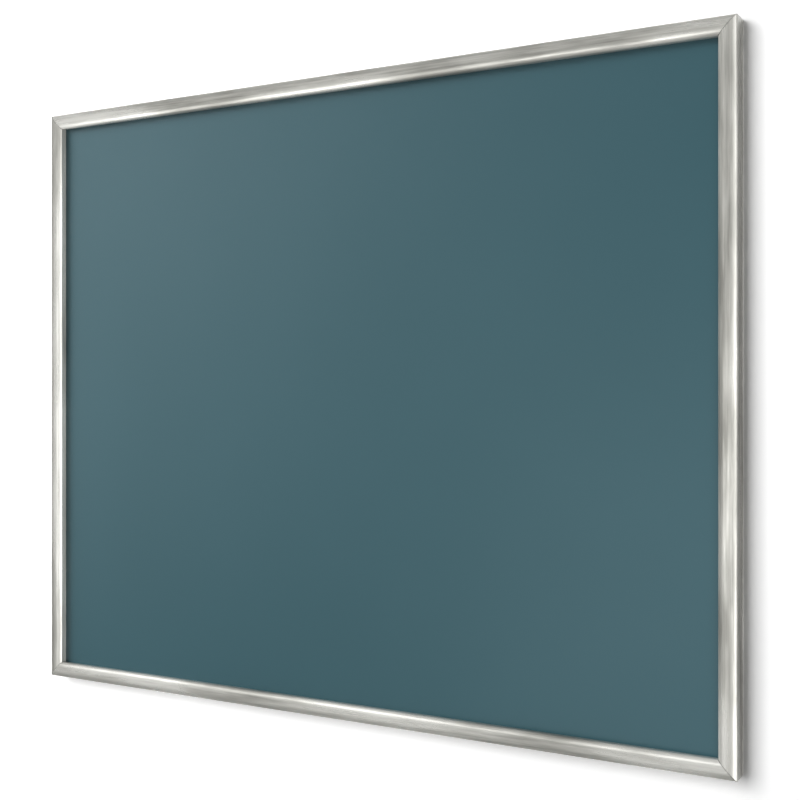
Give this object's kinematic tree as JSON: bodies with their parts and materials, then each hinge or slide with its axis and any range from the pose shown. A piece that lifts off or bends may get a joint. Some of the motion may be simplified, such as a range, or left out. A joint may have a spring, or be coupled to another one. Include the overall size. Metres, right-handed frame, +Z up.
{
  "type": "magnetic board",
  "caption": "Wall-hung magnetic board: a satin blue-green coated steel panel set back in a slim brushed metal frame with mitred corners and keyhole hangers behind.",
  "frame": {"origin": "midway between the entry holes of the two keyholes, on the rear face of the hanger plates", "axes": "+X to the viewer's right, +Y from the viewer into the wall, +Z up; the magnetic face looks along -Y"},
  "size_m": [0.762, 0.0204, 0.6096],
  "materials": {
    "frame_metal": "extruded, brushed along each rail, with a satin nickel tone",
    "board_enamel": "smooth satin blue-green coating on steel",
    "hardboard": "raw hardboard",
    "galvanised_sheet": "galvanised, with a fine spangle",
    "packing_foam": "closed-cell foam",
    "key_nylon": "moulded nylon",
    "key_metal": "as cast",
    "screw_steel": "zinc plated",
    "hanger_steel": "zinc plated, pressed",
    "bumper_rubber": "moulded"
  },
  "bodies": {
    "root": {"top_rail": "frame_metal", "bottom_rail": "frame_metal", "left_rail": "frame_metal", "right_rail": "frame_metal", "magnetic_face_sheet": "board_enamel", "core_board": "hardboard", "backing_sheet": "galvanised_sheet", "packing_strip_top": "packing_foam", "packing_strip_bottom": "packing_foam", "packing_strip_left": "packing_foam", "packing_strip_right": "packing_foam", "mitre_key_top_left": "key_nylon", "mitre_key_top_right": "key_nylon", "mitre_key_bottom_left": "key_nylon", "mitre_key_bottom_right": "key_nylon", "locking_key_top_left": "key_metal", "locking_key_top_right": "key_metal", "locking_key_bottom_left": "key_metal", "locking_key_bottom_right": "key_metal", "locking_key_screws": "screw_steel", "hanger_left": "hanger_steel", "hanger_right": "hanger_steel", "hanger_screws": "screw_steel", "bumper_top_left": "bumper_rubber", "bumper_top_right": "bumper_rubber", "bumper_bottom_left": "bumper_rubber", "bumper_bottom_right": "bumper_rubber"}
  },
  "joints": []
}
